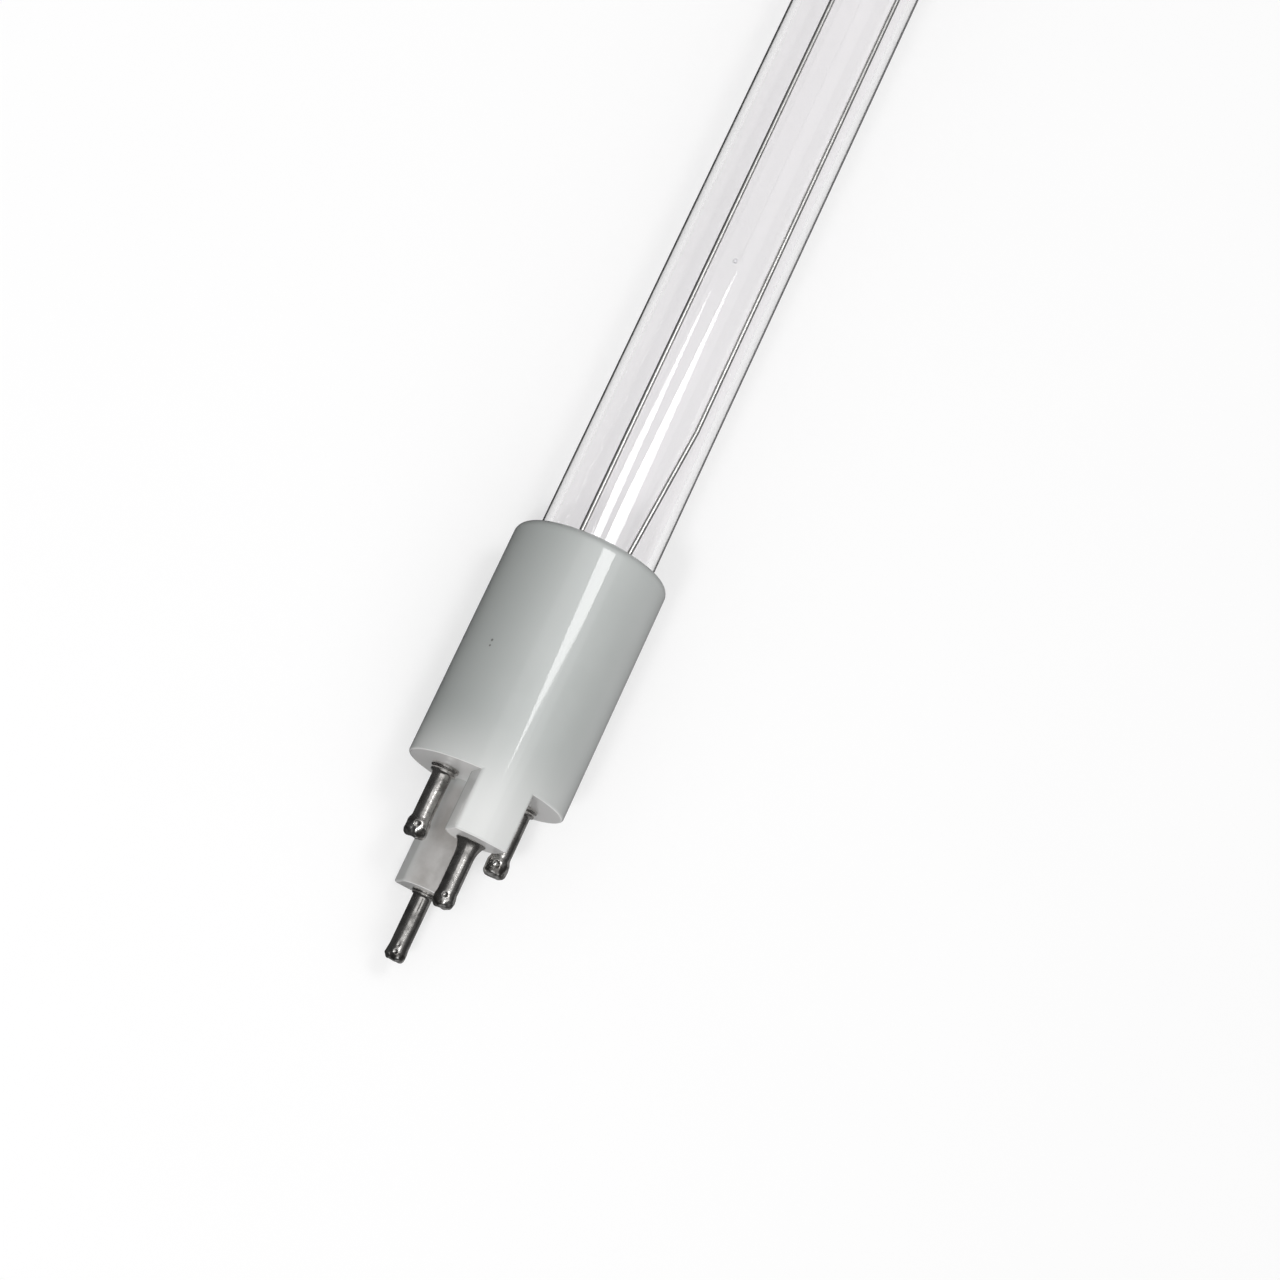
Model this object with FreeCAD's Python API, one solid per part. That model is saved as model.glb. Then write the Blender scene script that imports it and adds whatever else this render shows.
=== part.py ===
import FreeCAD, Part
import math
import os

V = FreeCAD.Vector

# Single-ended germicidal lamp. All sizes are in millimetres.
# The sizes are laid out in the lamp's own frame: x runs along the axis from the base's low face
# at zero towards the cap, z points up, and the long tongue hangs below the axis.
# At the end everything is moved so that the lamp lies on z = 0, centred in x.

# Overall
lamp_length = 287.0          # low face of the base to the end of the cap
seat_gap = 0.05              # clearance between fitted round pieces

# Ceramic base
barrel_length = 31.0
ceramic_wall = 1.5           # round the glass, in the base and in the cap
base_floor = 4.0
rim_round = 1.2              # rounded edge on the tube side
edge_round = 0.3             # pressed edges on the pin side
corner_round = 0.5           # long outer corners of the tongues
mouth_chamfer = 0.3
middle_tongue_length = 7.4
middle_tongue_width = 6.8
long_tongue_length = 13.6
long_tongue_width = 6.2
pin_inset = 4.68             # from the barrel's outside to a pin's middle

# Contact pins
pin_radius = 1.2
pin_bore_radius = 0.45
pin_tip_round = 0.75
pin_tip_wall = 0.9
collar_radius = 1.85
collar_thickness = 0.45
collar_length = 1.3          # face to the end of the taper
tail_radius = 1.7
tail_thickness = 0.3
side_pin_reach = 9.2         # pin beyond its own face
middle_pin_reach = 8.4
long_pin_reach = 8.9
dent_radius = 0.5
dent_depth = 0.2
dent_from_tip = 2.2

# Quartz tube
tube_radius = 7.5
tube_wall = 1.1
seal_start = 8.5             # end of the press seal, measured from the base's low face
seal_length = 9.0
seal_thickness = 4.0
seal_bend = 1.5              # softness of the shoulders
shoulder_length = 3.5
shoulder_overrun = 0.5       # the sloping shoulder runs on this far beyond the round tube
crotch_height = 0.8          # height of the hollow where it closes into the seal
cap_seal_inset = 6.0         # end of the other press seal, measured from the end of the cap
stub_radius = 1.25
stub_length = 2.0
stub_round = 0.75

# End cap
cap_length = 24.0
cap_floor = 3.0
cap_end_round = 1.5

# Cement rings
cement_recess = 0.6          # below each ceramic's rim
cement_cover = 0.25          # between a return wire and the ceramic
base_cement_depth = 7.0
cap_cement_depth = 4.6

# Return wires and leads
wire_radius = 0.35
wire_gap = 0.05              # between a return wire and the glass
wire_bend = 1.0
left_wire_angle = 32.0       # degrees from straight up, positive to the left
right_wire_angle = -25.0
right_wire_base_angle = -14.0
right_wire_turn = 18.0       # length over which the right wire turns in, ahead of the base
wire_in_rim = 1.0            # depth inside the base at which that turn ends
crossing_x = 6.5             # where the left wire crosses the inside of the base
lead_run = 1.0               # straight lead beyond a seal
lead_to_floor = 1.7          # from the base's floor to the last bend of a lead
cap_lead_turn = 1.4          # how far a cap lead stands past its seal
splice_orbit = 6.0           # radius at which the wires lie beside the cap's seal
splice_inset = 0.8           # from the seal's root to the crimp sleeve
splice_run = 1.0             # straight wire ahead of the crimp sleeve
splice_length = 6.0
splice_wall = 0.35
shoulder_clearance = 1.2     # a return wire turns in this far past the start of the shoulder
sleeve_wall = 0.38
sleeve_end_gap = 1.0         # from a bend's end to the insulating sleeve

# Seals and cathodes
foil_length = 5.0
foil_width = 2.2
foil_thickness = 0.06
foil_inset = 2.0             # glass between the seal's end and the foil
foil_spacing = 5.2           # centre to centre
post_radius = 0.3
post_bend = 1.5
post_straight = 4.0          # from the seal's root to the first bend
post_lean = 3.0              # length over which the posts lean outwards
post_spacing = 6.6           # at the coil
post_height = 11.0           # root of the seal to the coil
post_end = 0.6
coil_radius = 0.75
coil_wire_radius = 0.14
coil_turns = 7

# Mercury
drop_radius = 0.35
drop_x = 76.5
drop_angle = 196.0

# Worked out from the sizes above
tube_inner_radius = tube_radius - tube_wall
wire_orbit = tube_radius + wire_gap + wire_radius
bore_radius = wire_orbit + wire_radius + cement_cover
barrel_radius = bore_radius + ceramic_wall
pin_circle_radius = barrel_radius - pin_inset
seal_end = lamp_length - cap_seal_inset
far_root = seal_end - seal_length
cap_rim = lamp_length - cap_length
lowest_x = -(long_tongue_length + long_pin_reach)
middle_x = (lamp_length + lowest_x) / 2.0
AXIS = V(1, 0, 0)
PAST = 1.0                   # how far a cutting tool runs past what it cuts
SAME_PLANE = 1e-4            # closer than this counts as lying in a plane


def turned(radius, angle):
    """The y and z of a point at this radius and angle from straight up."""
    a = math.radians(angle)
    return radius * math.sin(a), radius * math.cos(a)


def rod(x0, x1, radius, y=0.0, z=0.0):
    """A cylinder along x between two x values, in either order."""
    return Part.makeCylinder(radius, abs(x1 - x0), V(min(x0, x1), y, z), AXIS)


def edges_at(shape, x):
    """The edges that lie wholly in the plane at this x."""
    flat = []
    for edge in shape.Edges:
        box = edge.BoundBox
        if max(abs(box.XMin - x), abs(box.XMax - x)) < SAME_PLANE:
            flat.append(edge)
    return flat


def path(points, bend):
    """Straight runs joined by tangent arcs."""
    edges = []
    start = points[0]
    for before, corner, after in zip(points, points[1:], points[2:]):
        d1 = (corner - before).normalize()
        d2 = (after - corner).normalize()
        half = d1.getAngle(d2) / 2.0
        reach = bend * math.tan(half)
        first = corner - d1 * reach
        last = corner + d2 * reach
        inward = (d2 - d1).normalize()
        centre = corner + inward * (bend / math.cos(half))
        edges.append(Part.LineSegment(start, first).toShape())
        edges.append(Part.Arc(first, centre - inward * bend, last).toShape())
        start = last
    edges.append(Part.LineSegment(start, points[-1]).toShape())
    return Part.Wire(edges)


def wire_solid(points, radius, bend):
    """A round wire along straight runs and tangent arcs."""
    spine = path(points, bend)
    section = Part.Wire(Part.makeCircle(radius, points[0], points[1] - points[0]))
    solid = spine.makePipeShell([section], True, False)
    expected = math.pi * radius ** 2 * spine.Length
    print("wire %.2f mm long, volume ratio %.4f" % (spine.Length, solid.Volume / expected))
    return solid


def revolved(profile, y, z):
    """A solid turned about a line along x; the profile is a list of x and radius pairs."""
    points = [V(x, 0, r) for x, r in profile]
    face = Part.Face(Part.makePolygon(points + points[:1]))
    solid = face.revolve(V(0, 0, 0), AXIS, 360)
    solid.translate(V(0, y, z))
    return solid


def pins():
    """Name, y, z, face and reach of each contact pin."""
    r = pin_circle_radius
    return [("left", r, 0.0, 0.0, side_pin_reach),
            ("right", -r, 0.0, 0.0, side_pin_reach),
            ("middle", 0.0, r, -middle_tongue_length, middle_pin_reach),
            ("long", 0.0, -r, -long_tongue_length, long_pin_reach)]


def tongue(length, width):
    """One tongue, pointing up: flat sides, a round nose about its pin and the barrel's outside."""
    half = width / 2.0
    top = barrel_radius + PAST
    root = base_floor / 2.0
    left_low = V(-length, half, pin_circle_radius)
    left_high = V(-length, half, top)
    right_high = V(-length, -half, top)
    right_low = V(-length, -half, pin_circle_radius)
    nose = V(-length, 0, pin_circle_radius - half)
    outline = [Part.LineSegment(left_low, left_high).toShape(),
               Part.LineSegment(left_high, right_high).toShape(),
               Part.LineSegment(right_high, right_low).toShape(),
               Part.Arc(right_low, nose, left_low).toShape()]
    block = Part.Face(Part.Wire(outline)).extrude(V(length + root, 0, 0))
    block = block.common(rod(-length, root, barrel_radius))
    corners = [e for e in block.Edges
               if e.BoundBox.XLength > length and e.BoundBox.ZMin > pin_circle_radius + edge_round]
    block = block.makeFillet(corner_round, corners)
    return block.makeFillet(edge_round, edges_at(block, -length))


def pin_base():
    """Barrel, floor and the two tongues, bored for the glass and the pins."""
    barrel = rod(0.0, barrel_length, barrel_radius)
    barrel = barrel.makeFillet(rim_round, edges_at(barrel, barrel_length))
    barrel = barrel.makeFillet(edge_round, edges_at(barrel, 0.0))
    below = tongue(long_tongue_length, long_tongue_width)
    below.rotate(V(0, 0, 0), AXIS, 180)
    body = barrel.fuse([tongue(middle_tongue_length, middle_tongue_width), below])
    mouth = Part.makeCone(bore_radius, bore_radius + mouth_chamfer, mouth_chamfer,
                          V(barrel_length - mouth_chamfer, 0, 0), AXIS)
    tools = [rod(base_floor, barrel_length + PAST, bore_radius), mouth]
    for name, y, z, face_x, reach in pins():
        tools.append(rod(face_x - PAST, base_floor + PAST, pin_radius + seat_gap, y, z))
    return body.cut(tools).removeSplitter()


def contact_pin(y, z, face_x, reach):
    """A hollow pin: tail flange on the floor, shank, collar on the face and a closed round tip."""
    tip_x = face_x - reach
    tail_x = base_floor + tail_thickness
    profile = [(tail_x, pin_bore_radius), (tail_x, tail_radius), (base_floor, tail_radius),
               (base_floor, pin_radius), (face_x, pin_radius), (face_x, collar_radius),
               (face_x - collar_thickness, collar_radius), (face_x - collar_length, pin_radius),
               (tip_x, pin_radius), (tip_x, 0.0), (tip_x + pin_tip_wall, 0.0),
               (tip_x + pin_tip_wall, pin_bore_radius)]
    body = revolved(profile, y, z)
    body = body.makeFillet(pin_tip_round, edges_at(body, tip_x))
    dents = []
    for side in (-1, 1):
        away = side * (pin_radius + dent_radius - dent_depth)
        dents.append(Part.makeSphere(dent_radius, V(tip_x + dent_from_tip, y + away, z)))
    return body.cut(dents)


def end_cap():
    """Plain cup over the far seal."""
    body = rod(cap_rim, lamp_length, barrel_radius)
    body = body.makeFillet(rim_round, edges_at(body, cap_rim))
    body = body.makeFillet(cap_end_round, edges_at(body, lamp_length))
    mouth = Part.makeCone(bore_radius + mouth_chamfer, bore_radius, mouth_chamfer, V(cap_rim, 0, 0), AXIS)
    return body.cut([rod(cap_rim - PAST, lamp_length - cap_floor, bore_radius), mouth])


def lengthwise_outline(stations):
    """A closed face in the xz plane, the same above and below the axis, with softened corners."""
    upper = [V(x, 0, h) for x, h in stations]
    lower = [V(x, 0, -h) for x, h in reversed(stations)]
    closing = [Part.LineSegment(upper[-1], lower[0]).toShape()]
    opening = [Part.LineSegment(lower[-1], upper[0]).toShape()]
    top = path(upper, seal_bend).Edges
    bottom = path(lower, seal_bend).Edges
    return Part.Face(Part.Wire(top + closing + bottom + opening))


def pressed(stations, radius):
    """A round bar flattened at both ends: the outline drawn out sideways and trimmed by the bar."""
    reach = radius + PAST
    slab = lengthwise_outline(stations).extrude(V(0, 2.0 * reach, 0))
    slab.translate(V(0, -reach, 0))
    return slab.common(rod(stations[0][0] - PAST, stations[-1][0] + PAST, radius))


def quartz_tube():
    """Tube, press seals and stub, hollowed, with room for what is sealed in the glass."""
    near_root = seal_start + seal_length
    half_seal = seal_thickness / 2.0
    half_crotch = crotch_height / 2.0
    outside = pressed([(seal_start, half_seal), (near_root, half_seal),
                       (near_root + shoulder_length, tube_radius + shoulder_overrun),
                       (far_root - shoulder_length, tube_radius + shoulder_overrun),
                       (far_root, half_seal), (seal_end, half_seal)], tube_radius)
    hollow = pressed([(near_root + tube_wall, half_crotch),
                      (near_root + tube_wall + shoulder_length, tube_inner_radius + shoulder_overrun),
                      (far_root - tube_wall - shoulder_length, tube_inner_radius + shoulder_overrun),
                      (far_root - tube_wall, half_crotch)], tube_inner_radius)
    stub = rod(seal_end - PAST, seal_end + stub_length, stub_radius)
    stub = stub.makeFillet(stub_round, edges_at(stub, seal_end + stub_length))
    rooms = [hollow]
    for side in (-1, 1):
        y = side * foil_spacing / 2.0
        for end_x, inward in ((seal_start, 1), (seal_end, -1)):
            foil_x = end_x + inward * foil_inset
            post_x = foil_x + inward * foil_length
            rooms.append(foil(foil_x, inward, y))
            rooms.append(rod(end_x - inward * PAST, foil_x, wire_radius, y))
            rooms.append(rod(post_x, end_x + inward * (seal_length + tube_wall + PAST), post_radius, y))
    return outside.fuse(stub).cut(rooms).removeSplitter()


def foil(start_x, inward, y):
    """A thin strip sealed in the glass."""
    corner = V(min(start_x, start_x + inward * foil_length), y - foil_width / 2.0, -foil_thickness / 2.0)
    return Part.makeBox(foil_length, foil_width, foil_thickness, corner)


def cathode_post(end_x, inward, side):
    """From the foil up to the coil, leaning a little outwards."""
    y0 = side * foil_spacing / 2.0
    y1 = side * post_spacing / 2.0
    root = end_x + inward * seal_length
    points = [V(end_x + inward * (foil_inset + foil_length), y0, 0),
              V(root + inward * post_straight, y0, 0),
              V(root + inward * (post_straight + post_lean), y1, 0),
              V(root + inward * (post_height + post_end), y1, 0)]
    return wire_solid(points, post_radius, post_bend)


def cathode(end_x, inward):
    """A tungsten coil between two posts."""
    length = post_spacing - 2.0 * (post_radius + seat_gap + coil_wire_radius)
    pitch = length / coil_turns
    spine = Part.makeHelix(pitch, length, coil_radius)
    climb = math.atan2(pitch, 2.0 * math.pi * coil_radius)
    heading = V(0, math.cos(climb), math.sin(climb))
    section = Part.Wire(Part.makeCircle(coil_wire_radius, V(coil_radius, 0, 0), heading))
    coil = Part.Wire(spine.Edges).makePipeShell([section], True, True)
    coil.rotate(V(0, 0, 0), V(1, 0, 0), -90)
    coil.translate(V(end_x + inward * (seal_length + post_height), -length / 2.0, 0))
    return coil


def base_lead(side):
    """From the near seal straight into a side pin."""
    y0 = side * foil_spacing / 2.0
    y1 = side * pin_circle_radius
    points = [V(seal_start + foil_inset, y0, 0), V(seal_start - lead_run, y0, 0),
              V(base_floor + lead_to_floor, y1, 0), V(-side_pin_reach + pin_tip_wall + seat_gap, y1, 0)]
    return wire_solid(points, wire_radius, wire_bend)


def splice_place(angle):
    """Start of the crimp sleeve on a return wire beside the far seal."""
    y, z = turned(splice_orbit, angle)
    return far_root + splice_inset, y, z


def cap_lead(side, angle):
    """From the far seal round its end and back to the crimp sleeve."""
    y0 = side * foil_spacing / 2.0
    x0, y, z = splice_place(angle)
    turn_x = seal_end + cap_lead_turn
    points = [V(seal_end - foil_inset, y0, 0), V(turn_x, y0, 0), V(turn_x, y, z),
              V(x0 + splice_length / 2.0 + seat_gap, y, z)]
    return wire_solid(points, wire_radius, wire_bend)


def splice(angle):
    """Crimp sleeve over the joint of a cap lead and a return wire."""
    x0, y, z = splice_place(angle)
    x1 = x0 + splice_length
    inner = wire_radius + seat_gap
    return rod(x0, x1, inner + splice_wall, y, z).cut(rod(x0 - PAST, x1 + PAST, inner, y, z))


def far_points(angle):
    """The stretch of a return wire at the cap, from the sleeve back to the tube's side."""
    x0, y, z = splice_place(angle)
    shoulder_x = far_root - shoulder_length
    return [V(x0 + splice_length / 2.0 - seat_gap, y, z), V(x0 - splice_run, y, z),
            V(shoulder_x + shoulder_clearance, *turned(wire_orbit, angle))]


def crossing_points():
    """Both corners of the left return wire's crossing, from the tube's side to the long pin."""
    return V(crossing_x, *turned(wire_orbit, left_wire_angle)), V(crossing_x, 0, -pin_circle_radius)


def return_wire_left():
    """From the cap along the glass, across the inside of the base and into the long pin."""
    start, landing = crossing_points()
    end = V(lowest_x + pin_tip_wall + seat_gap, 0, -pin_circle_radius)
    return wire_solid(far_points(left_wire_angle) + [start, landing, end], wire_radius, wire_bend)


def return_wire_right():
    """From the cap along the glass, turning in ahead of the base, and into the middle pin."""
    near = turned(wire_orbit, right_wire_base_angle)
    tip_x = -(middle_tongue_length + middle_pin_reach) + pin_tip_wall + seat_gap
    points = far_points(right_wire_angle)
    points += [V(barrel_length + right_wire_turn, *turned(wire_orbit, right_wire_angle)),
               V(barrel_length - wire_in_rim, *near),
               V(seal_start + seal_length / 2.0, *near),
               V(base_floor + lead_to_floor, 0, pin_circle_radius),
               V(tip_x, 0, pin_circle_radius)]
    return wire_solid(points, wire_radius, wire_bend)


def crossing_sleeve():
    """Insulating tube over the straight part of the crossing."""
    start, landing = crossing_points()
    heading = (landing - start).normalize()
    trim = wire_bend + sleeve_end_gap
    first = start + heading * trim
    length = (landing - start).Length - 2.0 * trim
    inner = wire_radius + seat_gap
    outside = Part.makeCylinder(inner + sleeve_wall, length, first, heading)
    return outside.cut(Part.makeCylinder(inner, length, first, heading))


def cement_ring(x0, x1, wire_angles):
    """A ring between glass and ceramic, notched where the wires pass."""
    tools = [rod(x0 - PAST, x1 + PAST, tube_radius + seat_gap)]
    for angle in wire_angles:
        tools.append(rod(x0 - PAST, x1 + PAST, wire_radius + seat_gap, *turned(wire_orbit, angle)))
    return rod(x0, x1, bore_radius - seat_gap).cut(tools)


def mercury_drop():
    """A small drop on the inside of the glass."""
    orbit = tube_inner_radius - drop_radius - seat_gap
    return Part.makeSphere(drop_radius, V(drop_x, *turned(orbit, drop_angle)))


def all_parts():
    """Every piece by name, in the lamp's own frame."""
    parts = {"quartz_tube": quartz_tube(), "pin_base": pin_base(), "end_cap": end_cap()}
    for name, y, z, face_x, reach in pins():
        parts["contact_pin_" + name] = contact_pin(y, z, face_x, reach)
    parts["return_wire_left"] = return_wire_left()
    parts["return_wire_right"] = return_wire_right()
    parts["crossing_sleeve"] = crossing_sleeve()
    base_x = barrel_length - cement_recess
    base_angles = (left_wire_angle, right_wire_base_angle)
    parts["base_cement"] = cement_ring(base_x - base_cement_depth, base_x, base_angles)
    cap_x = cap_rim + cement_recess
    cap_angles = (left_wire_angle, right_wire_angle)
    parts["cap_cement"] = cement_ring(cap_x, cap_x + cap_cement_depth, cap_angles)
    for end, end_x, inward in (("base", seal_start, 1), ("cap", seal_end, -1)):
        parts["cathode_" + end] = cathode(end_x, inward)
        for side_name, side in (("left", 1), ("right", -1)):
            y = side * foil_spacing / 2.0
            parts["cathode_post_%s_%s" % (end, side_name)] = cathode_post(end_x, inward, side)
            parts["seal_foil_%s_%s" % (end, side_name)] = foil(end_x + inward * foil_inset, inward, y)
    for side_name, side, angle in (("left", 1, left_wire_angle), ("right", -1, right_wire_angle)):
        parts["lead_wire_base_" + side_name] = base_lead(side)
        parts["lead_wire_cap_" + side_name] = cap_lead(side, angle)
        parts["splice_" + side_name] = splice(angle)
    parts["mercury_drop"] = mercury_drop()
    return parts


os.makedirs("parts", exist_ok=True)
for name, shape in all_parts().items():
    shape.translate(V(-middle_x, 0, barrel_radius))
    if not shape.isValid() or len(shape.Solids) != 1:
        print("check", name, "valid", shape.isValid(), "solids", len(shape.Solids))
    solid = shape.Solids[0] if len(shape.Solids) == 1 else shape
    solid.exportStep("parts/%s.step" % name)
    box = solid.BoundBox
    print("%-26s volume %9.2f  x %8.2f to %8.2f" % (name, solid.Volume, box.XMin, box.XMax))
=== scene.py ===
"""Dresses the packed germicidal lamp in clear fused quartz, glazed ceramic, dull nickel and plain wire.

All sizes are in metres in the frame's own axes. The lamp lies along X with its pins at the low end,
and the line through the middle of its glass is the lamp axis.
"""

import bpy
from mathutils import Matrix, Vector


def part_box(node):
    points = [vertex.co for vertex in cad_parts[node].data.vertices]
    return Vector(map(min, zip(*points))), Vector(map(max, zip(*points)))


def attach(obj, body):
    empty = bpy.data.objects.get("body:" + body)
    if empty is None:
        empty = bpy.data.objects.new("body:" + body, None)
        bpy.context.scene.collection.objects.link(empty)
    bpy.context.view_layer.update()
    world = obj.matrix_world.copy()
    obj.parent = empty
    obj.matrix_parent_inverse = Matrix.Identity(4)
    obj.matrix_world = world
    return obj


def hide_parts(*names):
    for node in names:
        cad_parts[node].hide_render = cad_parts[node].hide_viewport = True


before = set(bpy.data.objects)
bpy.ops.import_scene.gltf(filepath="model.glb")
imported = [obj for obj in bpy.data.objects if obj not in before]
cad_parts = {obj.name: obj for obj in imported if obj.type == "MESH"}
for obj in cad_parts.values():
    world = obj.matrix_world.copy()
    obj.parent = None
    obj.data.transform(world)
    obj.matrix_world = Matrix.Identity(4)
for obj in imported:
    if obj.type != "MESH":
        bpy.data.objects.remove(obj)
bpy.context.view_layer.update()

import math

import bmesh
import bpy
from bpy.props import FloatProperty, FloatVectorProperty, PointerProperty
from mathutils import Matrix, Vector, noise

bl_info = {
    "name": "Germicidal lamp looks",
    "version": (1, 0, 0),
    "blender": (4, 5, 0),
    "location": "3D View > Sidebar > Lamp",
    "description": "Finishes and fine pieces for a single-ended germicidal lamp",
    "category": "Object",
}

MM = 0.001
ROOT = "root"
QUARTER = math.pi / 2


def middle_of(node):
    """The middle of a packed node's box."""
    low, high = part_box(node)
    return (low + high) / 2


def half_height_of(node):
    """Half the height of a packed node, so the radius of one that lies along X."""
    low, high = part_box(node)
    return (high.z - low.z) / 2


# Places taken from the frame

BASE_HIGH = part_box("pin_base")[1]
BARREL_RADIUS = BASE_HIGH.y
BARREL_LENGTH = 31 * MM
FACE_X = BASE_HIGH.x - BARREL_LENGTH
QUARTZ_LOW, QUARTZ_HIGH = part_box("quartz_tube")
AXIS_Z = middle_of("quartz_tube").z

# Rings of the quartz tube's mesh, and how deep its filling stub is rooted in the seal

TUBE_SEGMENTS = 360
SHOULDER_RINGS = 10
BODY_RINGS = 12
SUPPORT_RINGS = (0.4 * MM, 1.2 * MM, 3.0 * MM)
STUB_ROOT = 1.0 * MM

# How far the quartz has turned from the eye, from 0 to 1, where an effect starts and where it is full

SHADOW_TURN = (0.35, 0.95)
# Where the outer wall's painted dark outline starts and where it is full
PAINTED_EDGE_SHADE_TURN = (0.73, 0.80)

# Kiln specks on the base: X, degrees round the axis from the top towards high Y, and size

KILN_SPECKS = (
    (-117.6 * MM, 53.9, 0.27 * MM),
    (-118.3 * MM, 53.6, 0.22 * MM),
)

# A dent: its distance from the tip's end, how far off the pin its pressing ball is centred, and ball radius

ONE_DENT = ((1.5 * MM, 0.28 * MM, 0.42 * MM),)
TWO_DENTS = ((1.0 * MM, 0.28 * MM, 0.36 * MM), (1.9 * MM, 0.24 * MM, 0.34 * MM))

# A pin: how far its level lies past the barrel's face, its collar, its tip's radius and length, its dents

PINS = {
    "left": {"level": 0.0, "collar": "stepped", "tip": (1.42 * MM, 1.7 * MM), "dents": ONE_DENT},
    "right": {"level": 0.0, "collar": "stepped", "tip": (1.42 * MM, 1.7 * MM), "dents": ONE_DENT},
    "middle": {"level": 7.4 * MM, "collar": "trumpet", "tip": (1.32 * MM, 1.2 * MM), "dents": ONE_DENT},
    "long": {"level": 13.6 * MM, "collar": "ringed", "tip": (1.28 * MM, 1.0 * MM), "dents": TWO_DENTS},
}
DENT_TURNS = (20, 200)
PIN_STEPS = 72
FLANGE_RADIUS = 1.7 * MM
FLANGE_THICKNESS = 0.3 * MM
NECK_LENGTH = 0.8 * MM
NOSE_RADIUS = 0.62 * MM

# A collar of rings: each ring's start, its end and how far its rim stays under the widest radius

COLLAR_RINGS = {
    "stepped": {
        "rings": ((0.0, 0.42 * MM, 0.1 * MM), (0.55 * MM, 0.98 * MM, 0.28 * MM)),
        "edge": 0.1 * MM, "steps": 4, "foot": 0.06 * MM},
    "ringed": {
        "rings": ((0.0, 0.3 * MM, 0.3 * MM), (0.36 * MM, 0.62 * MM, 0.42 * MM)),
        "edge": 0.07 * MM, "steps": 3, "foot": 0.0},
}

# Uneven solder on the tips; the seed keeps its lumps the same in each run

SOLDER_SEED = 4
LUMP_HEIGHT = 0.17 * MM
LUMP_SIZE = 0.7 * MM
LUMP_ROOM = 0.06 * MM
LUMPS_START = 0.4 * MM
LUMPS_GROW = 1.2 * MM

# Stage: a flat card is its name, width and depth, place and brightness

CEILING_SIZE = (4.0, 4.0)
CEILING_PLACE = (0.0, 0.0, 1.0)
FLAT_CARDS = (
    ("overhead_card", (1.6, 1.1), (-0.05, 0.1, 0.95), 0.8),
    # Floor cards: dark sheets that only mirrors see, a painted reflection of shade on the floor near the
    # lamp
    ("floor_shade_card_left", (0.8, 0.4), (0.0, 0.2, 0.0002), 0.05),
    ("floor_shade_card_right", (0.8, 0.4), (0.0, -0.2, 0.0002), 0.22),
)
SIDE_CARDS = 8
SIDE_CARD_SIZE = (0.34, 0.24)
SIDE_CARD_AWAY = 0.4
SIDE_CARD_LEVEL = 0.05
FLOOR_HALF = 4.0
FLOOR_FADE = (0.4, 2.0)
SOFTBOX_PLACE = (0.085, -0.035)
SOFTBOX_TURN = math.radians(45)
KEY_PLACE = (-0.44, 0.2)
KEY_AIM = Vector((-0.12, 0.0, 0.0))
CAMERA_PLACE = (-0.180538, 0.061802, 0.279445)
CAMERA_TURN = (7.0438, -19.5847, -64.6102)
CAMERA_LENS = 66.704
CAMERA_SENSOR = 36.0


# Sizes and colours that a user would change

class LampGlassSettings(bpy.types.PropertyGroup):
    """The fused quartz tube"""

    radius: FloatProperty(
        name="Radius", description="Outside radius of the tube",
        default=half_height_of("quartz_tube"), unit="LENGTH")
    wall: FloatProperty(
        name="Wall", description="Thickness of the glass",
        default=1.1 * MM, unit="LENGTH")
    seal_length: FloatProperty(
        name="Seal length", description="Flat length of each press seal",
        default=9.0 * MM, unit="LENGTH")
    seal_thickness: FloatProperty(
        name="Seal thickness", description="Thickness of each press seal",
        default=4.0 * MM, unit="LENGTH")
    shoulder: FloatProperty(
        name="Shoulder", description="Length over which the round tube becomes flat",
        default=3.8 * MM, unit="LENGTH")
    crotch: FloatProperty(
        name="Crotch", description="Height of the hollow where it closes",
        default=0.8 * MM, unit="LENGTH")
    stub_radius: FloatProperty(
        name="Stub radius", description="Radius of the closed filling stub",
        default=1.25 * MM, unit="LENGTH")
    stub_length: FloatProperty(
        name="Stub length", description="How far the filling stub stands past its seal",
        default=2.0 * MM, unit="LENGTH")
    colour: FloatVectorProperty(
        name="Colour", description="Tint of the quartz",
        default=(0.97, 0.962, 0.968, 1.0), size=4, min=0, max=1, subtype="COLOR")
    haze_colour: FloatVectorProperty(
        name="Haze", description="Slightly deeper tint of the clouds in the quartz",
        default=(0.955, 0.95, 0.955, 1.0), size=4, min=0, max=1, subtype="COLOR")
    shadow_colour: FloatVectorProperty(
        name="Shadow", description="Tint of the light that passes straight through the tube",
        default=(0.975, 0.972, 0.975, 1.0), size=4, min=0, max=1, subtype="COLOR")


class LampPinSettings(bpy.types.PropertyGroup):
    """The turned contact pins"""

    radius: FloatProperty(
        name="Radius", description="Radius of a pin's straight part",
        default=1.2 * MM, unit="LENGTH")
    bore: FloatProperty(
        name="Bore", description="Radius of the hole that takes the lead",
        default=0.45 * MM, unit="LENGTH")
    collar_radius: FloatProperty(
        name="Collar radius", description="Widest radius of the collar on the ceramic",
        default=1.85 * MM, unit="LENGTH")
    colour: FloatVectorProperty(
        name="Colour", description="Dark nickel of the pins",
        default=(0.80, 0.78, 0.755, 1.0), size=4, min=0, max=1, subtype="COLOR")


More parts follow.
